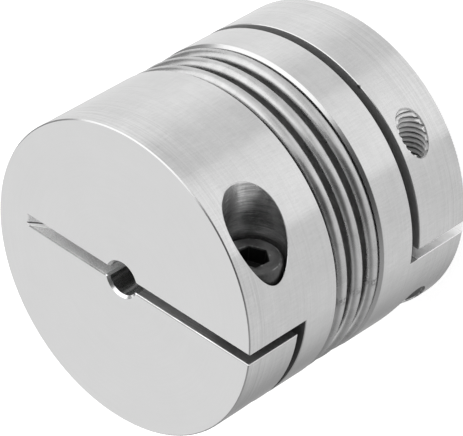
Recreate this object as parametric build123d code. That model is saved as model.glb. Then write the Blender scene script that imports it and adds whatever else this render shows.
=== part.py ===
"""Metal bellows coupling: two slit clamp hubs joined by a thin-walled stainless bellows.

Frame: +Z runs along the shaft axis, the lower hub's end face stands on Z = 0.
+X points out of the mouths of the clamp slits, +Y to the upper clamp screw's head.
All sizes are millimetres.
"""
from build123d import *
from math import sqrt
import os

# --- hubs ---------------------------------------------------------------
hub_outer_d = 56.0
hub_length = 21.1
hub_gap = 10.8            # between the two hubs' inner faces
rim_break = 0.2           # edge break round the end face and along the slit
edge_break = 0.12         # where the slots and the counterbore open on the outside
inner_rim_chamfer = 0.5   # on the outer edge beside the bellows

# --- shaft bore ---------------------------------------------------------
bore_d = 6.0
bore_chamfer = 0.45

# --- clamp slit, cut from the end face by a slitting saw ------------------
slit_width = 2.05
saw_radius = 72.0
saw_stop_x = 20.4         # the saw's centre stops here, so its rim leaves an arc
upper_jaw_draw = 0.15     # how far the upper screw has drawn the slit's mouth in

# --- relief slot that frees the clamp jaw ---------------------------------
slot_width = 1.75
slot_depth = 11.65        # end face to the slot's nearer wall

# --- M6 clamp screw -------------------------------------------------------
screw_inset = 7.5         # hub's outside to screw axis, along X
screw_depth = 7.5         # end face to screw axis
screw_seat_y = 6.7        # shaft axis to the seat under the head
thread_d = 6.0
thread_clearance = 0.05   # tapped hole to thread, on the radius
screw_length = 16.0       # under the head
head_d = 10.0
head_height = 6.0
head_edge_chamfer = 0.4
socket_across_flats = 5.0
socket_depth = 3.0
socket_turn = 22.5        # about the screw's axis, where tightening left it
socket_mouth_chamfer = 0.2
tip_chamfer = 0.6
through_hole_d = 6.6
counterbore_clearance = 0.5   # counterbore to head, on the radius

# --- bellows --------------------------------------------------------------
crown_count = 3
crown_pitch = 3.8
crown_inset = 0.1         # hub's outside to the crowns' outside, on the radius
crown_bend_radius = 1.25  # outside of the wall
root_outer_d = 41.4
bellows_wall = 0.25
bellows_offset = -0.2     # the bellows sits this far below the middle of the gap
collar_length = 2.1       # straight part that is bonded over the hub's spigot

# --- annular groove in the hub that takes the bellows' collar --------------
bond_gap = 0.05           # spigot to collar, on the radius
groove_side_gap = 1.2     # collar to the groove's outer wall, on the radius
groove_depth = 3.0

# --- worked out from the sizes above ---------------------------------------
hub_radius = hub_outer_d / 2
screw_x = hub_radius - screw_inset
overall_length = 2 * hub_length + hub_gap
slit_depth = slot_depth + slot_width
bellows_mid_z = overall_length / 2 + bellows_offset
collar_outer_r = root_outer_d / 2
collar_inner_r = collar_outer_r - bellows_wall
crown_mid_bend = crown_bend_radius - bellows_wall / 2
root_mid_bend = crown_pitch / 2 - crown_mid_bend


def saw_cut(jaw_draw):
    """Clamp slit: a saw kerf across the bore whose floor runs out in an arc to the end face."""
    saw_centre_z = hub_length - slit_depth + saw_radius
    reach = sqrt(saw_radius**2 - (saw_centre_z - hub_length) ** 2)
    far_x = saw_stop_x - reach - 1
    mouth_x = hub_radius + 1
    half = slit_width / 2
    with BuildPart() as kerf:
        with BuildSketch():
            with BuildLine():
                Polyline(
                    (far_x, -half), (mouth_x, jaw_draw - half), (mouth_x, half), (far_x, half), close=True
                )
            make_face()
        extrude(amount=hub_length + 1)
    with BuildPart() as saw:
        with Locations(Location((saw_stop_x, 0, saw_centre_z), (90, 0, 0))):
            Cylinder(saw_radius, 2 * slit_width)
        with Locations((saw_stop_x, 0, hub_length - slit_depth)):
            Box(
                2 * hub_radius, 2 * slit_width, 2 * slit_depth,
                align=(Align.MIN, Align.CENTER, Align.MIN),
            )
    return kerf.part & saw.part


def clamp_hub(jaw_draw):
    """Hub with its end face up: the half at +Y is solid, the half at -Y is the clamp jaw."""
    screw_z = hub_length - screw_depth
    counterbore_r = head_d / 2 + counterbore_clearance
    with BuildPart() as hub:
        Cylinder(hub_radius, hub_length, align=(Align.CENTER, Align.CENTER, Align.MIN))
        chamfer(hub.edges().sort_by(Axis.Z)[0], inner_rim_chamfer)
        # annular groove round the spigot
        with BuildSketch():
            Circle(collar_outer_r + groove_side_gap)
            Circle(collar_inner_r - bond_gap, mode=Mode.SUBTRACT)
        extrude(amount=groove_depth, mode=Mode.SUBTRACT)
        # clamp slit, then the relief slot across the jaw
        add(saw_cut(jaw_draw), mode=Mode.SUBTRACT)
        with Locations((0, 0, hub_length - slot_depth)):
            Box(
                3 * hub_radius, 2 * hub_radius, slot_width,
                align=(Align.CENTER, Align.MAX, Align.MAX), mode=Mode.SUBTRACT,
            )
        end_face = hub.faces().filter_by(Plane.XY).sort_by(Axis.Z)[-1]
        chamfer(end_face.edges(), rim_break)
        # screw: counterbore and through hole in the solid half
        with Locations(Location((screw_x, screw_seat_y, screw_z), (-90, 0, 0))):
            Cylinder(
                counterbore_r, hub_radius,
                align=(Align.CENTER, Align.CENTER, Align.MIN), mode=Mode.SUBTRACT,
            )
        with Locations(Location((screw_x, 0, screw_z), (-90, 0, 0))):
            Cylinder(
                through_hole_d / 2, hub_radius,
                align=(Align.CENTER, Align.CENTER, Align.MIN), mode=Mode.SUBTRACT,
            )
        # shaft bore with a chamfered mouth at each end
        Cylinder(bore_d / 2, hub_length, align=(Align.CENTER, Align.CENTER, Align.MIN), mode=Mode.SUBTRACT)
        for mouth_z, small_end in ((hub_length, Align.MAX), (0, Align.MIN)):
            top_r = bore_d / 2 + bore_chamfer * (mouth_z > 0)
            bottom_r = bore_d / 2 + bore_chamfer * (mouth_z == 0)
            with Locations((0, 0, mouth_z)):
                Cone(
                    bottom_r, top_r, bore_chamfer,
                    align=(Align.CENTER, Align.CENTER, small_end), mode=Mode.SUBTRACT,
                )
        # edge break wherever a slot or the counterbore opens on the outside
        outside = hub.faces().filter_by(GeomType.CYLINDER).sort_by(SortBy.AREA)[-1]
        openings = outside.edges().filter_by_position(
            Axis.Z, inner_rim_chamfer + edge_break, hub_length - rim_break - edge_break
        )
        chamfer(openings, edge_break)
        # tapped hole in the jaw
        with Locations(Location((screw_x, 0, screw_z), (90, 0, 0))):
            Cylinder(
                thread_d / 2, hub_radius,
                align=(Align.CENTER, Align.CENTER, Align.MIN), mode=Mode.SUBTRACT,
            )
    return hub.part


def clamp_screw():
    """Hexagon socket head cap screw along Z, with the seat under its head at Z = 0."""
    with BuildPart() as screw:
        Cylinder(head_d / 2, head_height, align=(Align.CENTER, Align.CENTER, Align.MIN))
        chamfer(screw.edges().sort_by(Axis.Z)[-1], head_edge_chamfer)
        with BuildSketch(Plane.XY.offset(head_height)):
            RegularPolygon(socket_across_flats / 2, 6, major_radius=False, rotation=socket_turn)
        extrude(amount=-socket_depth, mode=Mode.SUBTRACT)
        socket_mouth = screw.faces().filter_by(Plane.XY).sort_by(Axis.Z)[-1].inner_wires()[0]
        chamfer(socket_mouth.edges(), socket_mouth_chamfer)
        with Locations((0, 0, -screw_length)):
            Cylinder(
                thread_d / 2 - thread_clearance, screw_length,
                align=(Align.CENTER, Align.CENTER, Align.MIN),
            )
        chamfer(screw.edges().sort_by(Axis.Z)[0], tip_chamfer)
    return screw.part


def bellows():
    """Thin-walled bellows, centred on Z = 0: U-shaped convolutions between two straight collars."""
    crown_r = hub_radius - crown_inset - crown_bend_radius
    root_r = collar_outer_r - bellows_wall / 2 + root_mid_bend
    collar_r = collar_outer_r - bellows_wall / 2
    first_crown_z = -crown_pitch * (crown_count - 1) / 2
    last_crown_z = -first_crown_z
    end_bend_z = last_crown_z + crown_mid_bend + root_mid_bend
    with BuildPart() as body:
        with BuildSketch(Plane.XZ):
            with BuildLine():
                run = Line((collar_r, -end_bend_z - collar_length), (collar_r, -end_bend_z))
                run = TangentArc(run @ 1, (root_r, first_crown_z - crown_mid_bend), tangent=(0, 1))
                for index in range(crown_count):
                    crown_z = first_crown_z + index * crown_pitch
                    run = Line(run @ 1, (crown_r, crown_z - crown_mid_bend))
                    run = TangentArc(run @ 1, (crown_r, crown_z + crown_mid_bend), tangent=(1, 0))
                    run = Line(run @ 1, (root_r, crown_z + crown_mid_bend))
                    if index < crown_count - 1:
                        next_flank_z = crown_z + crown_pitch - crown_mid_bend
                        run = TangentArc(run @ 1, (root_r, next_flank_z), tangent=(-1, 0))
                run = TangentArc(run @ 1, (collar_r, end_bend_z), tangent=(-1, 0))
                Line(run @ 1, (collar_r, end_bend_z + collar_length))
            trace(line_width=bellows_wall)
        revolve(axis=Axis.Z)
    return body.part


def write(name, part):
    export_step(part, f"parts/{name}.step")


os.makedirs("parts", exist_ok=True)

screw_in_hub = Location((screw_x, screw_seat_y, hub_length - screw_depth), (-90, 0, 0))
upper_place = Location((0, 0, hub_length + hub_gap))
lower_place = Location((0, 0, hub_length), (180, 0, 0))

write("upper_hub", upper_place * clamp_hub(upper_jaw_draw))
write("lower_hub", lower_place * clamp_hub(0))
write("upper_clamp_screw", upper_place * screw_in_hub * clamp_screw())
write("lower_clamp_screw", lower_place * screw_in_hub * clamp_screw())
write("bellows", Location((0, 0, bellows_mid_z)) * bellows())
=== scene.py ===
"""Looks of a metal bellows coupling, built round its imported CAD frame."""
from math import cos, hypot, pi, radians, sin, sqrt
from types import SimpleNamespace

import bpy
from mathutils import Matrix, Vector


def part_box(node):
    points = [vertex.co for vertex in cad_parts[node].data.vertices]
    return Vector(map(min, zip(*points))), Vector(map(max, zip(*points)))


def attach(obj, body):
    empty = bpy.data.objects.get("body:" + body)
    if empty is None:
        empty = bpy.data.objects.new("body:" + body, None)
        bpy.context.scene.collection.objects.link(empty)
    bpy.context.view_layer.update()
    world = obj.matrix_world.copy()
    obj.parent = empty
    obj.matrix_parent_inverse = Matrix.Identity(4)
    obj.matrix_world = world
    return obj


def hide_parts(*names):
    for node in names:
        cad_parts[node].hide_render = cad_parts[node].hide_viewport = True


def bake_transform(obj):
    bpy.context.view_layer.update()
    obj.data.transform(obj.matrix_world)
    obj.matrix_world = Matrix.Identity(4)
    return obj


bl_info = {
    "name": "Bellows coupling looks",
    "version": (1, 0, 0),
    "blender": (4, 5, 0),
    "location": "3D View > Sidebar > Coupling",
    "description": "Finishes, bellows, screws and stage for a clamp-hub bellows coupling",
    "category": "Object",
}

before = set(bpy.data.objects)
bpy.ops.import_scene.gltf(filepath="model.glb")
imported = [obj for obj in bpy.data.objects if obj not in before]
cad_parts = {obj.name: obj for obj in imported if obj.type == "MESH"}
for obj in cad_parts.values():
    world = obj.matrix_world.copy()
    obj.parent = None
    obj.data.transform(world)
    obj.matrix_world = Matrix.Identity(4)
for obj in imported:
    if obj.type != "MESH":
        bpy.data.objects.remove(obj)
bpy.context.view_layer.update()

MM = 0.001


def node_box(name):
    low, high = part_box(name)
    return Vector(low), Vector(high)


LOWER_HUB_TOP = node_box("lower_hub")[1].z / MM
UPPER_HUB_BOTTOM = node_box("upper_hub")[0].z / MM
HUB_RADIUS = node_box("lower_hub")[1].x / MM
TOTAL_LENGTH = node_box("upper_hub")[1].z / MM
BELLOWS_BOTTOM = node_box("bellows")[0].z / MM
BELLOWS_TOP = node_box("bellows")[1].z / MM
CROWN_RADIUS = node_box("bellows")[1].x / MM
# the clamp screws lie along Y; the upper one's head is at +Y, the lower one's at -Y
SCREW_LOW, SCREW_HIGH = node_box("lower_clamp_screw")
SCREW_X = (SCREW_LOW.x + SCREW_HIGH.x) / 2 / MM
SCREW_DEPTH = (SCREW_LOW.z + SCREW_HIGH.z) / 2 / MM
SCREW_TIP = SCREW_HIGH.y / MM
SCREW_TOP = -SCREW_LOW.y / MM
# cuts in each hub, in mm; depths are measured from the hub's end face
BORE_RADIUS = 3.0
TAPPED_RADIUS = 3.0
SEAT_RADIUS = 5.5
SLIT_HALF_WIDTH = 1.025
SLOT_DEPTH = 11.65
SLOT_END = 13.4
SAW_RADIUS = 72.0
SAW_STOP_X = 20.4
# the middle of a burr on the edge of the lower hub's relief slot, drawn as a dark spot of painted shade
BURR = (11.75, 25.05, SLOT_DEPTH)


# --- sizes and colours that a user would change ---------------------------------


class CouplingFinish(bpy.types.PropertyGroup):
    """Colours of the coupling's bare and coated metals"""

    hub_hex: bpy.props.StringProperty(
        name="Hub", description="Colour of the machined aluminium, sRGB hex", default="#DCDCDC"
    )
    bellows_hex: bpy.props.StringProperty(
        name="Bellows", description="Colour of the stainless bellows, sRGB hex", default="#CACACA"
    )
    screw_hex: bpy.props.StringProperty(
        name="Screw", description="Colour of the black oxide on the screws, sRGB hex", default="#565656"
    )


class CouplingBellows(bpy.types.PropertyGroup):
    """The bellows' wall, in millimetres"""

    crowns: bpy.props.IntProperty(name="Crowns", description="Number of outer folds", default=3)
    pitch: bpy.props.FloatProperty(name="Pitch", description="Crown to crown, mm", default=3.8)
    crown_bend: bpy.props.FloatProperty(
        name="Crown bend", description="Outside radius of a crown, mm", default=1.25
    )
    root_radius: bpy.props.FloatProperty(
        name="Root radius", description="Outside radius of the collar, mm", default=20.7
    )
    wall: bpy.props.FloatProperty(name="Wall", description="Sheet thickness, mm", default=0.25)
    around: bpy.props.IntProperty(name="Around", description="Faces round the axis", default=224)
    bend_steps: bpy.props.IntProperty(name="Bend steps", description="Faces across half a crown", default=8)


class CouplingScrews(bpy.types.PropertyGroup):
    """The M6 clamp screws and their tapped holes, in millimetres"""

    thread: bpy.props.FloatProperty(
        name="Thread", description="Outer diameter of the thread, mm", default=6.0
    )
    thread_pitch: bpy.props.FloatProperty(name="Thread pitch", description="Turn to turn, mm", default=1.0)
    thread_depth: bpy.props.FloatProperty(
        name="Thread depth", description="Crest to root on the radius, mm", default=0.54
    )
    head: bpy.props.FloatProperty(name="Head", description="Head diameter, mm", default=10.0)
    head_height: bpy.props.FloatProperty(name="Head height", description="Seat to top, mm", default=6.0)
    socket: bpy.props.FloatProperty(name="Socket", description="Across the socket's flats, mm", default=5.0)
    socket_depth: bpy.props.FloatProperty(
        name="Socket depth", description="Depth of the hexagon, mm", default=3.0
    )
    knurls: bpy.props.IntProperty(name="Knurls", description="Ridges round the head", default=48)


class CouplingStage(bpy.types.PropertyGroup):
    """Floor, light and camera"""

    lens: bpy.props.FloatProperty(
        name="Lens", description="Focal length on a 36 mm sensor", default=271.87, unit="CAMERA"
    )
    camera_distance: bpy.props.FloatProperty(
        name="Camera distance", description="From the aim point", default=0.57924, unit="LENGTH"
    )
    camera_azimuth: bpy.props.FloatProperty(
        name="Camera azimuth", description="From +X towards +Y", default=radians(49.491), subtype="ANGLE"
    )
    camera_elevation: bpy.props.FloatProperty(
        name="Camera elevation",
        description="Above the floor",
        default=radians(38.272),
        subtype="ANGLE",
    )
    camera_roll: bpy.props.FloatProperty(
        name="Camera roll",
        description="Turn about the view axis",
        default=radians(-120.565),
        subtype="ANGLE",
    )
    aim_height: bpy.props.FloatProperty(
        name="Aim height",
        description="Height of the aim point over the floor",
        default=0.027079,
        unit="LENGTH",
    )
    aim_side: bpy.props.FloatProperty(
        name="Aim side",
        description="Aim point to the shaft axis, to the right",
        default=0.00048137,
        unit="LENGTH",
    )


# --- small helpers -----------------------------------------------------------------


def linear(hex_colour):
    """sRGB hex to linear RGBA."""
    values = [int(hex_colour[i : i + 2], 16) / 255 for i in (1, 3, 5)]
    return [v / 12.92 if v <= 0.04045 else ((v + 0.055) / 1.055) ** 2.4 for v in values] + [1.0]


def add(tree, kind, settings=None, **inputs):
    """Adds a node; settings are its attributes, inputs are values or the sockets that feed it."""
    new = tree.nodes.new(kind)
    for key, value in (settings or {}).items():
        setattr(new, key, value)
    for key, value in inputs.items():
        socket = new.inputs[int(key[1:])] if key[0] == "_" else new.inputs[key.replace("__", " ")]
        if isinstance(value, bpy.types.NodeSocket):
            tree.links.new(value, socket)
        else:
            socket.default_value = value
    return new


def new_material(name):
    material = bpy.data.materials.new(name)
    material.use_nodes = True
    material.node_tree.nodes.clear()
    return material


# --- materials -----------------------------------------------------------------------


class Maths:
    """A value in a node tree that can be added, multiplied and compared like a number."""

    def __init__(self, tree, socket):
        self.tree, self.socket = tree, socket

    def do(self, operation, *others):
        sources = {f"_{i}": getattr(v, "socket", v) for i, v in enumerate((self,) + others)}
        maths = add(self.tree, "ShaderNodeMath", {"operation": operation}, **sources)
        return Maths(self.tree, maths.outputs[0])

    def __add__(self, other):
        return self.do("ADD", other)

    def __sub__(self, other):
        return self.do("SUBTRACT", other)

    def __mul__(self, other):
        return self.do("MULTIPLY", other)

    def fade(self, low, high):
        """0 up to low and 1 from high on, smooth between; low may be the larger."""
        step = add(
            self.tree, "ShaderNodeMapRange", {"interpolation_type": "SMOOTHSTEP"},
            Value=self.socket, From__Min=low, From__Max=high,
        )
        return Maths(self.tree, step.outputs[0])

    def flip(self):
        """1 where it was 0, and 0 where it was 1."""
        rest = add(self.tree, "ShaderNodeMath", {"operation": "SUBTRACT"}, _0=1.0, _1=self.socket)
        return Maths(self.tree, rest.outputs[0])


def start(tree):
    """Object position in mm: the vector socket, then x, y, z and the radius from the shaft axis."""
    place = add(tree, "ShaderNodeTexCoord")
    object_place = place.outputs["Object"]
    mm = add(tree, "ShaderNodeVectorMath", {"operation": "SCALE"}, Vector=object_place, Scale=1 / MM)
    split = add(tree, "ShaderNodeSeparateXYZ", Vector=mm.outputs[0])
    x, y, z = (Maths(tree, socket) for socket in split.outputs)
    radius = (x * x + y * y).do("SQRT")
    return mm.outputs[0], x, y, z, radius


def noise(tree, vector, scale, detail=3.0, roughness=0.6):
    new = add(tree, "ShaderNodeTexNoise", Vector=vector, Scale=scale, Detail=detail, Roughness=roughness)
    return Maths(tree, new.outputs["Fac"])


def vector(tree, *values):
    joined = add(
        tree, "ShaderNodeCombineXYZ", **{f"_{i}": getattr(v, "socket", v) for i, v in enumerate(values)}
    )
    return joined.outputs[0]


def tinted(tree, hex_colour, factor):
    """The colour times a value near 1."""
    colour = linear(hex_colour)[:3]
    scaled = add(tree, "ShaderNodeVectorMath", {"operation": "SCALE"}, Vector=colour, Scale=factor.socket)
    return scaled.outputs[0]


def hub_zones(x, y, depth, radius, to_screw, head_side):
    """Where each cut lies on a hub: every value is 1 on its cut and 0 off it."""
    normal = add(x.tree, "ShaderNodeNewGeometry")
    facing = add(x.tree, "ShaderNodeSeparateXYZ", Vector=normal.outputs["Normal"])
    flat = Maths(x.tree, facing.outputs["Z"]).do("ABSOLUTE").fade(0.9, 0.97)
    # distance beyond the relief slot's walls, and the broken edges beside them
    off_slot = (depth - (SLOT_DEPTH + SLOT_END) / 2).do("ABSOLUTE") - (SLOT_END - SLOT_DEPTH) / 2
    slot_rim = off_slot.fade(-0.003, 0.01) * off_slot.fade(0.15, 0.12)
    edge = radius.fade(HUB_RADIUS - 0.16, HUB_RADIUS - 0.13) * slot_rim
    rim = radius.fade(HUB_RADIUS - 0.06, HUB_RADIUS - 0.03)
    outside = rim * edge.flip()
    inside = rim.flip()
    faced = flat * depth.fade(0.06, 0.03)
    bored = radius.fade(BORE_RADIUS + 0.7, BORE_RADIUS + 0.6) * depth.fade(0.02, 0.05)
    seat = to_screw.fade(SEAT_RADIUS + 0.25, SEAT_RADIUS + 0.1) * head_side.fade(1.2, 1.3) * inside
    in_tapped = to_screw.fade(TAPPED_RADIUS + 0.2, TAPPED_RADIUS + 0.1)
    tapped = in_tapped * head_side.fade(-1.2, -1.3) * inside
    relief = off_slot.fade(0.04, 0.01) * inside * edge.flip() * (seat + tapped).flip()
    cut = (outside + edge + faced + bored + seat + tapped + relief).do("MINIMUM", 1.0)
    # the slit on either side of the bore, and its broken edge at the end face
    off_slit = y.do("ABSOLUTE") - SLIT_HALF_WIDTH
    slit = cut.flip() * off_slit.fade(0.225, 0.125) * depth.fade(SLOT_END + 0.2, SLOT_END + 0.1)
    far_slit = slit * x.fade(-2.4, -2.8)
    # painted shade darkens the tapped thread's roots, but not beside the outside
    in_root = to_screw.fade(TAPPED_RADIUS - 0.18, TAPPED_RADIUS - 0.02)
    return SimpleNamespace(
        outside=outside,
        edge=edge,
        faced=faced,
        bored=bored,
        seat=seat,
        tapped=tapped,
        relief=relief,
        turned=(cut + slit).flip(),
        far_slit=far_slit,
        near_slit=slit - far_slit,
        lip=slit * off_slit.fade(-0.015, 0.005) * depth.fade(0.3, 0.2),
        # painted highlight along the tapped thread's crests
        crest=tapped * to_screw.fade(TAPPED_RADIUS - 0.38, TAPPED_RADIUS - 0.46),
        root=tapped * in_root * radius.fade(HUB_RADIUS - 0.1, HUB_RADIUS - 0.5),
    )


def tool_marks(mm, x, y, z, radius, saw_arc, head_side):
    """The marks that each cut's tool leaves on a hub: values from 0 to 1 with 0.5 as their middle."""
    tree = x.tree
    turn = y.do("ARCTAN2", x)
    return SimpleNamespace(
        # lathe lines round the outside, up to 0.3 mm apart
        lines=noise(tree, vector(tree, x * 0.06, y * 0.06, z * 3.2), 1.0, 4.0),
        # short scratches along the axis from the polishing wheel, about 0.3 mm apart and 3 mm long
        scratches=noise(tree, vector(tree, turn * 90.0, z * 0.3, 0.0), 1.0, 3.0),
        clouds=noise(tree, mm, 0.16, 3.0),
        specks=noise(tree, mm, 5.0, 2.0, 0.8),
        # facing rings of the tool, about 0.35 mm apart
        rings=noise(tree, vector(tree, radius * 2.8, turn * 0.8, 0.0), 1.0, 3.0),
        # arcs that the slitting saw leaves about 0.3 mm apart
        arcs=noise(tree, vector(tree, saw_arc * 3.2, y * 0.3, z * 0.02), 1.0, 2.0),
        # rings left by the end mill round the screw's axis, about 0.3 mm apart, and its drag marks
        milling=noise(tree, vector(tree, head_side * 3.2, x * 0.2, z * 0.2), 1.0, 3.0),
        drag=noise(tree, vector(tree, head_side * 0.25, x * 0.9, z * 0.9), 1.0, 3.0),
    )


def machined_aluminium(name):
    """Bare 6061 aluminium: outside turned and brushed, ends faced, slits sawn, screw seats milled."""
    material = new_material(name)
    tree = material.node_tree
    finish = bpy.context.scene.coupling_finish
    mm, x, y, z, radius = start(tree)
    upper = z.do("GREATER_THAN", TOTAL_LENGTH / 2)
    depth = z.do("MINIMUM", (z * -1.0) + TOTAL_LENGTH)
    # towards the screw's head in either hub
    head_side = y * (upper * 2.0 - 1.0)
    to_screw = ((x - SCREW_X).do("POWER", 2.0) + (depth - SCREW_DEPTH).do("POWER", 2.0)).do("SQRT")
    # the slitting saw's centre lies far outside the end face
    saw_across = x - SAW_STOP_X
    saw_along = depth + (SAW_RADIUS - SLOT_END)
    saw_arc = (saw_across.do("POWER", 2.0) + saw_along.do("POWER", 2.0)).do("SQRT")
    zone = hub_zones(x, y, depth, radius, to_screw, head_side)
    marks = tool_marks(mm, x, y, z, radius, saw_arc, head_side)
    mouth = x.fade(16.0, 22.0)
    # the saw's second pass left a step along the run-out's floor, which is not modelled: painted shade
    # draws it as a dark line, and a painted highlight draws the bright strip on the facet beside it
    run_out = saw_arc.fade(SAW_RADIUS - 0.1, SAW_RADIUS - 0.03) * zone.far_slit
    off_middle = head_side - depth * 0.15
    step = off_middle.fade(-0.7, -0.62) * off_middle.fade(-0.34, -0.42) * run_out
    facet_and_painted_highlight = off_middle.fade(-0.62, -0.72) * run_out
    # each mark as light or dark about its middle
    scratches = marks.scratches - 0.5
    clouds = marks.clouds - 0.5
    specks = marks.specks - 0.5
    streaks = (marks.lines - 0.5) * (depth.fade(10.0, 2.0) * 0.26 + 0.16)
    sawn = (marks.arcs - 0.5) * (mouth * -3.0 + 3.4)
    milled = (marks.milling - 0.5) * 2.0 + (marks.drag - 0.5) * 1.2
    shade = (
        zone.outside * (streaks + scratches * 0.2 + clouds * 0.2 + specks * 0.1)
        + zone.faced * ((marks.rings - 0.5) * 0.04 + clouds * 0.04 - 0.12)
        # painted light lightens the sawn slit walls on both sides of the bore, and painted shade darkens
        # the upper hub's near slit towards the outside
        + zone.near_slit * zone.lip.flip() * (sawn - mouth * upper * 0.5 + 0.5)
        + zone.far_slit * (specks * 1.5 + clouds * 0.6 + 0.22)
        # painted shade darkens the slit's broken edge at the end face
        - zone.lip * 0.5
        # painted light lightens the bore, over its scratches
        + zone.bored * (scratches * 1.2 + 0.3)
        # painted light lightens the upper hub's screw seat and painted shade darkens the lower hub's, over
        # the milling marks
        + zone.seat * (milled - upper.flip() * 0.5 + 0.12)
        # painted light in the tapped hole, a painted highlight on its thread's crests and painted shade in
        # its roots
        + (zone.tapped + zone.crest) * 0.3
        - zone.root * 0.9
        # painted shade darkens the relief slots, the upper hub's the most
        + zone.relief * (specks * 0.3 - upper * 0.28 - 0.45)
        # painted highlight on the run-out's facet, and painted shade along its step
        + facet_and_painted_highlight * 0.4
        - step
        + 1.0
    )
    # a burr that the slotting saw left on the lower hub's relief slot is not modelled; a dark spot of
    # painted shade stands for it
    burr_shade = add(tree, "ShaderNodeVectorMath", {"operation": "DISTANCE"}, _0=mm, _1=BURR)
    shade = shade * (Maths(tree, burr_shade.outputs["Value"]).fade(0.25, 0.45) * 0.8 + 0.2)
    height = (
        zone.outside * (marks.lines * 0.5 + marks.scratches * 0.3 + marks.specks * 0.1)
        + zone.faced * marks.rings * 0.2
        + zone.near_slit * marks.arcs * 2.0
        + zone.far_slit * marks.specks * 1.5
        + (zone.seat + zone.tapped) * (marks.milling * 1.2 + marks.specks * 0.2)
    )
    bump = add(tree, "ShaderNodeBump", Strength=0.35, Distance=0.00005, Height=height.socket)
    roughness = (
        zone.outside * (marks.clouds * 0.12 + marks.scratches * 0.06 + 0.1)
        + zone.faced * 0.28
        + zone.bored * 0.2
        + zone.near_slit * 0.4
        + zone.far_slit * 0.8
        + zone.seat * 0.26
        + zone.tapped * 0.16
        + zone.relief * 0.6
        + (zone.turned + zone.edge) * 0.22
        - facet_and_painted_highlight * 0.4
    )
    less_metal = zone.tapped * 0.6 + zone.seat * 0.06 + zone.relief * 0.4 + facet_and_painted_highlight
    # the turned lines spread light along the axis and keep it sharp round it
    tangent = add(tree, "ShaderNodeTangent", {"direction_type": "RADIAL", "axis": "Z"})
    shader = add(
        tree, "ShaderNodeBsdfPrincipled",
        Base__Color=tinted(tree, finish.hub_hex, shade),
        Metallic=(less_metal * -1.0 + 1.0).socket,
        Roughness=roughness.socket,
        Anisotropic=(zone.outside * 0.8).socket,
        Anisotropic__Rotation=0.25,
        Tangent=tangent.outputs[0],
        Normal=bump.outputs[0],
    )
    add(tree, "ShaderNodeOutputMaterial", Surface=shader.outputs[0])
    return material


def formed_stainless(name):
    """Thin stainless tube, formed: satin, with draw lines round it and the tube's seam weld at +X."""
    material = new_material(name)
    tree = material.node_tree
    finish = bpy.context.scene.coupling_finish
    mm, x, y, z, radius = start(tree)
    # draw lines round the folds, up to 0.3 mm apart
    lines = noise(tree, vector(tree, x * 0.05, y * 0.05, z * 3.5 + radius * 3.0), 1.0, 4.0)
    stains = noise(tree, mm, 0.35, 3.0)
    grain = noise(tree, mm, 6.0, 2.0, 0.8)
    # the folds' outsides carry the grain; the grooves between them stay matt and are darkened with painted
    # shade
    crown = radius.fade(25.0, 27.0)
    # the seam weld was planished flat and shows as a mottled strip 1.4 mm wide
    strip = y.do("ABSOLUTE").fade(1.1, 0.3) * x.do("GREATER_THAN", 0.0)
    mottle = noise(tree, mm, 2.2, 3.0)
    shade = (
        (lines - 0.5) * 0.3
        + (stains - 0.5) * 0.6
        + crown * (grain - 0.5) * 0.4
        + strip * (mottle - 0.56) * 2.4
        # painted shade leaves the grooves darker than the crowns
        + crown * 0.12
        + 0.88
    )
    height = lines * 0.6 + crown * grain * 0.12 + strip * mottle * 2.5
    bump = add(tree, "ShaderNodeBump", Strength=0.3, Distance=0.00005, Height=height.socket)
    roughness = stains * 0.12 + strip * 0.1 - crown * 0.25 + 0.47
    shader = add(
        tree, "ShaderNodeBsdfPrincipled",
        Base__Color=tinted(tree, finish.bellows_hex, shade),
        Metallic=(crown * 0.3 + 0.7).socket,
        Roughness=roughness.socket,
        Normal=bump.outputs[0],
    )
    add(tree, "ShaderNodeOutputMaterial", Surface=shader.outputs[0])
    return material


def black_oxide(name):
    """Black oxide and oil on alloy steel: near black with a soft sheen, rubbed brighter in places, with
    painted highlights on the head's edges and painted shade inside the socket.
    """
    material = new_material(name)
    tree = material.node_tree
    finish = bpy.context.scene.coupling_finish
    mm, x, y, z, _ = start(tree)
    grain = noise(tree, mm, 4.0, 3.0, 0.7)
    smears = noise(tree, mm, 0.7, 2.0)
    # distance from the screw's axis, and how far out along it towards the head
    from_end = z.do("MINIMUM", (z * -1.0) + TOTAL_LENGTH) - SCREW_DEPTH
    across = x - SCREW_X
    off_axis = (across * across + from_end * from_end).do("SQRT")
    on_top = y.do("ABSOLUTE").fade(SCREW_TOP - 0.2, SCREW_TOP - 0.1)
    # the turned ring and the socket's mouth are rubbed bright in places, and carry painted highlights there
    ring = off_axis.fade(4.4, 4.5) * off_axis.fade(4.65, 4.55)
    socket_mouth = off_axis.fade(2.5, 2.6) * off_axis.fade(3.0, 2.75)
    wear_and_highlight = (ring + socket_mouth) * on_top * smears.fade(0.5, 0.62)
    # painted shade darkens the inside of the hexagon socket
    socket_shade = off_axis.fade(2.9, 2.8) * y.do("ABSOLUTE").fade(SCREW_TOP - 0.25, SCREW_TOP - 0.5)
    shade = ((grain - 0.5) * 0.8 + (smears - 0.5) * 0.9 + 1.0 + wear_and_highlight * 2.2) * (socket_shade * -0.85 + 1.0)
    bump = add(tree, "ShaderNodeBump", Strength=0.3, Distance=0.00004, Height=grain.socket)
    roughness = smears * 0.2 + 0.28
    shader = add(
        tree, "ShaderNodeBsdfPrincipled",
        Base__Color=tinted(tree, finish.screw_hex, shade),
        Metallic=0.6,
        Roughness=roughness.socket,
        Normal=bump.outputs[0],
    )
    add(tree, "ShaderNodeOutputMaterial", Surface=shader.outputs[0])
    return material


def dress(name, material):
    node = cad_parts[name]
    node.data.materials.clear()
    node.data.materials.append(material)


# --- modelling steps ---------------------------------------------------------------------


def new_piece(name, material):
    """Names the piece just made, moves its own mesh to the row frame and gives it its finish."""
    piece = bpy.context.active_object
    piece.name = name
    piece.data.name = name
    bpy.ops.object.transform_apply(location=True, rotation=True, scale=True)
    piece.data.materials.clear()
    piece.data.materials.append(material)
    return piece


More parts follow.
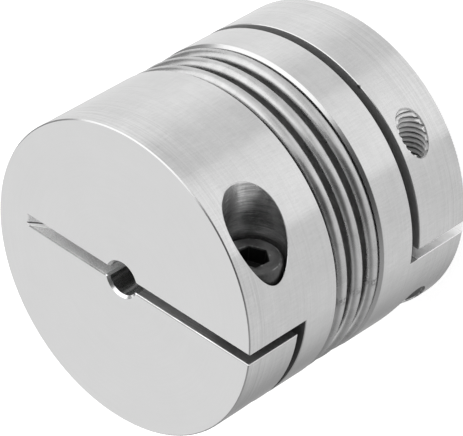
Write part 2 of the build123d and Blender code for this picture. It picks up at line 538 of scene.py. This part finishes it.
def turn_profile(profile, around):
    """Turns a wall about Z: a ring drawn out and resized at each (radius, height) of the profile, in mm."""
    bpy.ops.object.select_all(action="DESELECT")
    first_r, first_z = profile[0]
    bpy.ops.mesh.primitive_circle_add(vertices=around, radius=first_r * MM, location=(0, 0, 0))
    bpy.ops.object.mode_set(mode="EDIT")
    bpy.ops.mesh.select_all(action="SELECT")
    bpy.ops.transform.translate(value=(0, 0, first_z * MM))
    for (old_r, old_z), (new_r, new_z) in zip(profile, profile[1:]):
        bpy.ops.mesh.extrude_edges_move(TRANSFORM_OT_translate={"value": (0, 0, (new_z - old_z) * MM)})
        scale = new_r / old_r
        bpy.ops.transform.resize(value=(scale, scale, 1), center_override=(0, 0, 0))
    bpy.ops.mesh.select_all(action="SELECT")
    bpy.ops.mesh.remove_doubles(threshold=1e-6)
    bpy.ops.mesh.normals_make_consistent(inside=False)
    bpy.ops.object.mode_set(mode="OBJECT")


def apply_modifier(piece, kind, **settings):
    modifier = piece.modifiers.new(kind.lower(), kind)
    for key, value in settings.items():
        setattr(modifier, key, value)
    bpy.ops.object.modifier_apply(modifier=modifier.name)


def smooth(degrees):
    bpy.ops.object.shade_smooth_by_angle(angle=radians(degrees))


def arc(centre_r, centre_z, radius, from_angle, to_angle, steps):
    """Points on an arc in the radius-height plane; angles from outwards to up."""
    points = []
    for index in range(steps + 1):
        angle = radians(from_angle + (to_angle - from_angle) * index / steps)
        points.append((centre_r + radius * cos(angle), centre_z + radius * sin(angle)))
    return points


def bellows_wall(settings):
    """Middle of the bellows' wall from the lower collar's end to the upper collar's end."""
    middle = (BELLOWS_BOTTOM + BELLOWS_TOP) / 2
    crown_bend = settings.crown_bend - settings.wall / 2
    root_bend = settings.pitch / 2 - crown_bend
    collar_r = settings.root_radius - settings.wall / 2
    crown_r = CROWN_RADIUS - settings.crown_bend
    root_r = collar_r + root_bend
    steps = settings.bend_steps
    crowns = [middle + (i - (settings.crowns - 1) / 2) * settings.pitch for i in range(settings.crowns)]
    wall = [(collar_r, BELLOWS_BOTTOM)]
    for crown_z in crowns:
        wall += arc(root_r, crown_z - settings.pitch / 2, root_bend, 180, 90, steps // 2)
        wall += arc(crown_r, crown_z, crown_bend, -90, 90, 2 * steps)
        wall += arc(root_r, crown_z + settings.pitch / 2, root_bend, -90, -180, steps // 2)
    wall.append((collar_r, BELLOWS_TOP))
    return wall


def split_wall(wall, height):
    """The wall below and above the root at that height; both halves keep the root's middle."""
    at = min(range(len(wall)), key=lambda i: abs(wall[i][1] - height) + abs(wall[i][0] - wall[0][0]))
    return wall[: at + 1], wall[at:]


# --- operators ---------------------------------------------------------------------


class COUPLING_OT_hubs(bpy.types.Operator):
    """Give both clamp hubs their machined aluminium"""

    bl_idname = "coupling.hubs"
    bl_label = "Finish hubs"

    def execute(self, context):
        material = machined_aluminium("machined_aluminium")
        dress("upper_hub", material)
        dress("lower_hub", material)
        return {"FINISHED"}


class COUPLING_OT_bellows(bpy.types.Operator):
    """Form the bellows' folds as two pieces, split at a root"""

    bl_idname = "coupling.bellows"
    bl_label = "Form bellows"

    def execute(self, context):
        settings = context.scene.coupling_bellows
        material = formed_stainless("formed_stainless")
        dress("bellows", material)
        middle = (BELLOWS_BOTTOM + BELLOWS_TOP) / 2
        low_root = middle - settings.pitch / 2
        lower, upper = split_wall(bellows_wall(settings), low_root)
        spans = (
            ("bellows_lower_fold", lower, ("lower_end", "bellows_middle"), (LOWER_HUB_TOP, low_root)),
            ("bellows_upper_folds", upper, ("bellows_middle", "upper_end"), (low_root, UPPER_HUB_BOTTOM)),
        )
        for name, wall, bodies, heights in spans:
            turn_profile(wall, settings.around)
            piece = new_piece(name, material)
            apply_modifier(piece, "SOLIDIFY", thickness=settings.wall * MM, offset=0.0)
            smooth(50)
            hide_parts("bellows")
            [(0, 0, height * MM) for height in heights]
            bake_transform(piece)
        return {"FINISHED"}


class COUPLING_OT_screws(bpy.types.Operator):
    """Make both socket head cap screws, with thread, knurl and hexagon socket"""

    bl_idname = "coupling.screws"
    bl_label = "Make clamp screws"

    def execute(self, context):
        settings = context.scene.coupling_screws
        material = black_oxide("black_oxide")
        for name, side, height, body in (
            ("lower_clamp_screw", -1, SCREW_DEPTH, "lower_end"),
            ("upper_clamp_screw", 1, TOTAL_LENGTH - SCREW_DEPTH, "upper_end"),
        ):
            dress(name, material)
            screw = make_screw(settings)
            screw.rotation_euler.x = radians(-90 * side)
            screw.location = (SCREW_X * MM, side * (SCREW_TOP - settings.head_height) * MM, height * MM)
            new_piece(name + "_detail", material)
            smooth(30)
            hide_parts(name)
            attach(screw, body)
        return {"FINISHED"}


class COUPLING_OT_threads(bpy.types.Operator):
    """Cut the M6 thread in each hub's tapped hole, from the screw's tip to the outside"""

    bl_idname = "coupling.threads"
    bl_label = "Cut tapped threads"

    def execute(self, context):
        settings = context.scene.coupling_screws
        material = bpy.data.materials["machined_aluminium"]
        # the ridge's foot inside the hub's metal, its extra height, and its start beyond the screw's tip
        buried, overhang, first_turn = 0.12, 0.08, 0.6
        for name, side, height, body in (
            ("lower_hub_thread", 1, SCREW_DEPTH, "lower_end"),
            ("upper_hub_thread", -1, TOTAL_LENGTH - SCREW_DEPTH, "upper_end"),
        ):
            outer_y = sqrt(HUB_RADIUS**2 - (SCREW_X - settings.thread / 2) ** 2)
            turns = int((outer_y - SCREW_TIP) / settings.thread_pitch) + 2
            foot = settings.thread / 2 + buried
            thread = make_thread(settings, foot, -settings.thread_depth - overhang, turns)
            thread.rotation_euler.x = radians(-90 * side)
            thread.location = (SCREW_X * MM, side * (SCREW_TIP + first_turn) * MM, height * MM)
            new_piece(name, material)
            trim_to_hub(thread, height)
            smooth(35)
            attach(thread, body)
        return {"FINISHED"}


def deselect():
    """Leaves nothing of the active piece selected, so that vertices can be picked in object mode."""
    bpy.ops.object.mode_set(mode="EDIT")
    bpy.ops.mesh.select_mode(type="VERT")
    bpy.ops.mesh.select_all(action="DESELECT")
    bpy.ops.object.mode_set(mode="OBJECT")


def make_thread(settings, base, rise, turns):
    """A ridge of trapezium section wound up Z; base is its radius, rise is inwards if negative."""
    bpy.ops.object.select_all(action="DESELECT")
    bpy.ops.mesh.primitive_plane_add(size=1, rotation=(radians(90), 0, 0))
    thread = bpy.context.active_object
    bpy.ops.object.transform_apply(rotation=True)
    wide, narrow = 0.86 * settings.thread_pitch, 0.25 * settings.thread_pitch
    bpy.ops.object.mode_set(mode="EDIT")
    bpy.ops.mesh.select_all(action="SELECT")
    bpy.ops.transform.resize(value=(abs(rise) * MM, 1, wide * MM), center_override=(0, 0, 0))
    bpy.ops.transform.translate(value=((base + rise / 2) * MM, 0, 0))
    bpy.ops.object.mode_set(mode="OBJECT")
    # the two corners at the crest draw together
    crest = (base + rise) * MM
    deselect()
    for vertex in thread.data.vertices:
        vertex.select = abs(vertex.co.x - crest) < 1e-6
    bpy.ops.object.mode_set(mode="EDIT")
    bpy.ops.transform.resize(value=(1, 1, narrow / wide), center_override=(0, 0, 0))
    bpy.ops.mesh.select_all(action="SELECT")
    bpy.ops.mesh.delete(type="ONLY_FACE")
    bpy.ops.object.mode_set(mode="OBJECT")
    apply_modifier(
        thread, "SCREW", axis="Z", angle=2 * pi, screw_offset=settings.thread_pitch * MM, iterations=turns,
        steps=40, render_steps=40,
    )
    bpy.ops.object.mode_set(mode="EDIT")
    bpy.ops.mesh.select_all(action="SELECT")
    bpy.ops.mesh.remove_doubles(threshold=1e-6)
    bpy.ops.mesh.fill_holes(sides=4)
    bpy.ops.mesh.normals_make_consistent(inside=False)
    bpy.ops.object.mode_set(mode="OBJECT")
    return thread


def trim_to_hub(thread, height):
    """Cuts the thread's turns off just inside the hub's outside."""
    bpy.ops.mesh.primitive_cylinder_add(
        vertices=256, radius=(HUB_RADIUS - 0.3) * MM, depth=20 * MM, location=(0, 0, height * MM)
    )
    trim = bpy.context.active_object
    bpy.context.view_layer.objects.active = thread
    thread.select_set(True)
    trim.select_set(False)
    apply_modifier(thread, "BOOLEAN", operation="INTERSECT", object=trim, solver="EXACT")
    bpy.data.objects.remove(trim)


def make_screw(settings):
    """Socket head cap screw along Z, its seat at Z = 0 and its head up."""
    clearance = 0.05
    plain_shank = 5.2
    head_chamfer = 0.4
    radius = settings.thread / 2 - clearance
    length = SCREW_TOP + SCREW_TIP - settings.head_height
    core = radius - settings.thread_depth
    turns = int((length - plain_shank) / settings.thread_pitch)
    thread = make_thread(settings, core - 0.05, settings.thread_depth + 0.05, turns)
    thread.location.z = -(length - 0.6) * MM
    bpy.ops.object.transform_apply(location=True)
    head_r = settings.head / 2
    outline = (
        (core - 0.35, -length),
        (core, -length + 0.5),
        (core, -plain_shank),
        (radius, -plain_shank + 0.5),
        (radius, 0.0),
        (head_r, 0.0),
        (head_r, settings.head_height - head_chamfer),
        (head_r - head_chamfer, settings.head_height),
    )
    turn_profile(outline, 2 * settings.knurls)
    screw = bpy.context.active_object
    bpy.ops.object.mode_set(mode="EDIT")
    bpy.ops.mesh.fill_holes(sides=0)
    bpy.ops.mesh.normals_make_consistent(inside=False)
    bpy.ops.object.mode_set(mode="OBJECT")
    # straight knurl: every second line of the head's side stands out
    deselect()
    for vertex in screw.data.vertices:
        on_side = hypot(vertex.co.x, vertex.co.y) > (head_r - 0.05) * MM and vertex.co.z > 0.3 * MM
        vertex.select = on_side and vertex.index % 2 == 0
    bpy.ops.object.mode_set(mode="EDIT")
    bpy.ops.transform.resize(value=(0.975, 0.975, 1), center_override=(0, 0, 0))
    bpy.ops.object.mode_set(mode="OBJECT")
    # hexagon socket with the drill's cone at its bottom
    corner = settings.socket / sqrt(3)
    bottom = settings.head_height - settings.socket_depth
    bpy.ops.mesh.primitive_cylinder_add(
        vertices=6, radius=corner * MM, depth=4 * MM,
        location=(0, 0, (bottom + 2) * MM), rotation=(0, 0, radians(-7.5)),
    )
    hexagon = bpy.context.active_object
    bpy.ops.mesh.primitive_cone_add(
        vertices=48, radius1=0.0, radius2=settings.socket / 2 * 0.98 * MM, depth=1.2 * MM,
        location=(0, 0, (bottom - 0.59) * MM),
    )
    point = bpy.context.active_object
    for cutter in (hexagon, point):
        bpy.ops.object.select_all(action="DESELECT")
        bpy.context.view_layer.objects.active = screw
        screw.select_set(True)
        apply_modifier(screw, "BOOLEAN", operation="DIFFERENCE", object=cutter, solver="EXACT")
        bpy.data.objects.remove(cutter)
    apply_modifier(
        screw, "BEVEL", width=0.12 * MM, segments=2, limit_method="ANGLE", angle_limit=radians(35)
    )
    thread.select_set(True)
    bpy.context.view_layer.objects.active = screw
    bpy.ops.object.join()
    return screw


class COUPLING_OT_stage(bpy.types.Operator):
    """Make the floor, the soft light and the camera"""

    bl_idname = "coupling.stage"
    bl_label = "Make stage"

    def execute(self, context):
        scene = context.scene
        settings = scene.coupling_stage
        make_floor()
        make_world(scene)
        make_camera(scene, settings)
        scene.view_settings.view_transform = "Standard"
        return {"FINISHED"}


def make_floor():
    bpy.ops.object.select_all(action="DESELECT")
    bpy.ops.mesh.primitive_circle_add(vertices=96, radius=3.0, fill_type="NGON", location=(0, 0, 0))
    floor = bpy.context.active_object
    floor.name = "floor"
    material = new_material("pale_floor")
    tree = material.node_tree
    path = add(tree, "ShaderNodeLightPath")
    diffuse = add(tree, "ShaderNodeBsdfDiffuse", Color=linear("#F4F4F4"))
    glow = add(tree, "ShaderNodeEmission", Color=(1, 1, 1, 1), Strength=0.62)
    lit = add(tree, "ShaderNodeAddShader", _0=diffuse.outputs[0], _1=glow.outputs[0])
    to_camera = path.outputs["Is Camera Ray"]
    in_reflection = path.outputs["Is Glossy Ray"]
    clear = add(tree, "ShaderNodeBsdfTransparent")
    seen = add(tree, "ShaderNodeMixShader", _0=to_camera, _1=diffuse.outputs[0], _2=lit.outputs[0])
    surface = add(tree, "ShaderNodeMixShader", _0=in_reflection, _1=seen.outputs[0], _2=clear.outputs[0])
    add(tree, "ShaderNodeOutputMaterial", Surface=surface.outputs[0])
    floor.data.materials.append(material)


def make_world(scene):
    world = bpy.data.worlds.new("studio")
    scene.world = world
    world.use_nodes = True
    tree = world.node_tree
    tree.nodes.clear()
    place = add(tree, "ShaderNodeTexCoord")
    path = add(tree, "ShaderNodeLightPath")
    ray = place.outputs["Generated"]

    def towards(direction):
        dot = add(tree, "ShaderNodeVectorMath", {"operation": "DOT_PRODUCT"}, _0=ray, _1=direction)
        return Maths(tree, dot.outputs["Value"])

    # the studio's own up and right, and the dark room on the open side, seen from the coupling
    up = towards((-0.451, 0.797, -0.401))
    right = towards((0.733, 0.075, -0.676))
    room = towards((0.508, 0.599, 0.619))
    above = up.fade(0.16, 0.20)
    # the panel overhead is brightest left of its middle and again to the right, with a dip between
    dip = right.fade(-0.02, 0.4) * -0.35 + right.fade(0.505, 0.54) * 0.29 + right.fade(0.58, 0.8) * 0.07
    panel = above * (dip + right.fade(-0.16, -0.05) * 0.095 + 0.135)
    # on the left a bright strip in front of the coupling ends at a dark corner behind it
    left = right.fade(-0.1, -0.6) * 0.3
    strip = up.fade(-0.05, 0.1) * right.fade(-0.2, -0.35) * room.fade(-0.2, -0.02)
    corner = up.fade(-0.05, 0.1) * right.fade(-0.4, -0.6) * room.fade(-0.05, -0.22) * 0.75
    # below the coupling the room falls off towards the middle, and the camera's side is darkest
    low = up.fade(0.05, -0.3) * right.fade(0.85, 0.2) * right.fade(-0.6, -0.1) * 0.4
    level = panel.do("MAXIMUM", left) + strip * 0.38 - corner - low + 0.75
    strength = level * (room.fade(0.45, 0.92) * above.flip() * strip.flip() * -0.78 + 1.0)
    seen = strength.do("MAXIMUM", path.outputs["Is Camera Ray"])
    background = add(tree, "ShaderNodeBackground", Color=(1, 1, 1, 1), Strength=seen.socket)
    add(tree, "ShaderNodeOutputWorld", Surface=background.outputs[0])


def make_camera(scene, settings):
    azimuth, elevation = settings.camera_azimuth, settings.camera_elevation
    back = Vector((cos(elevation) * cos(azimuth), cos(elevation) * sin(azimuth), sin(elevation)))
    side = Vector((sin(azimuth), -cos(azimuth), 0)) * settings.aim_side
    aim = side + Vector((0, 0, settings.aim_height))
    camera = bpy.data.objects.new("camera", bpy.data.cameras.new("camera"))
    scene.collection.objects.link(camera)
    camera.data.sensor_width = 36.0
    camera.data.lens = settings.lens
    camera.data.clip_start = 0.01
    camera.data.clip_end = 20.0
    camera.rotation_mode = "QUATERNION"
    camera.location = aim + back * settings.camera_distance
    level = (-back).to_track_quat("-Z", "Y")
    camera.rotation_quaternion = level @ Matrix.Rotation(settings.camera_roll, 3, "Z").to_quaternion()
    scene.camera = camera


class COUPLING_PT_panel(bpy.types.Panel):
    """Coupling tools in the sidebar"""

    bl_idname = "COUPLING_PT_panel"
    bl_label = "Coupling"
    bl_space_type = "VIEW_3D"
    bl_region_type = "UI"
    bl_category = "Coupling"

    def draw(self, context):
        for step_class in STEPS:
            self.layout.operator(step_class.bl_idname)


STEPS = (
    COUPLING_OT_hubs,
    COUPLING_OT_bellows,
    COUPLING_OT_screws,
    COUPLING_OT_threads,
    COUPLING_OT_stage,
)
GROUPS = (CouplingFinish, CouplingBellows, CouplingScrews, CouplingStage)
CLASSES = GROUPS + STEPS + (COUPLING_PT_panel,)


def register():
    for one in CLASSES:
        bpy.utils.register_class(one)
    bpy.types.Scene.coupling_finish = bpy.props.PointerProperty(type=CouplingFinish)
    bpy.types.Scene.coupling_bellows = bpy.props.PointerProperty(type=CouplingBellows)
    bpy.types.Scene.coupling_screws = bpy.props.PointerProperty(type=CouplingScrews)
    bpy.types.Scene.coupling_stage = bpy.props.PointerProperty(type=CouplingStage)


def unregister():
    del bpy.types.Scene.coupling_stage
    del bpy.types.Scene.coupling_screws
    del bpy.types.Scene.coupling_bellows
    del bpy.types.Scene.coupling_finish
    for one in reversed(CLASSES):
        bpy.utils.unregister_class(one)


def main():
    register()
    bpy.ops.coupling.hubs()
    bpy.ops.coupling.bellows()
    bpy.ops.coupling.screws()
    bpy.ops.coupling.threads()
    bpy.ops.coupling.stage()


if __name__ == "__main__":
    main()
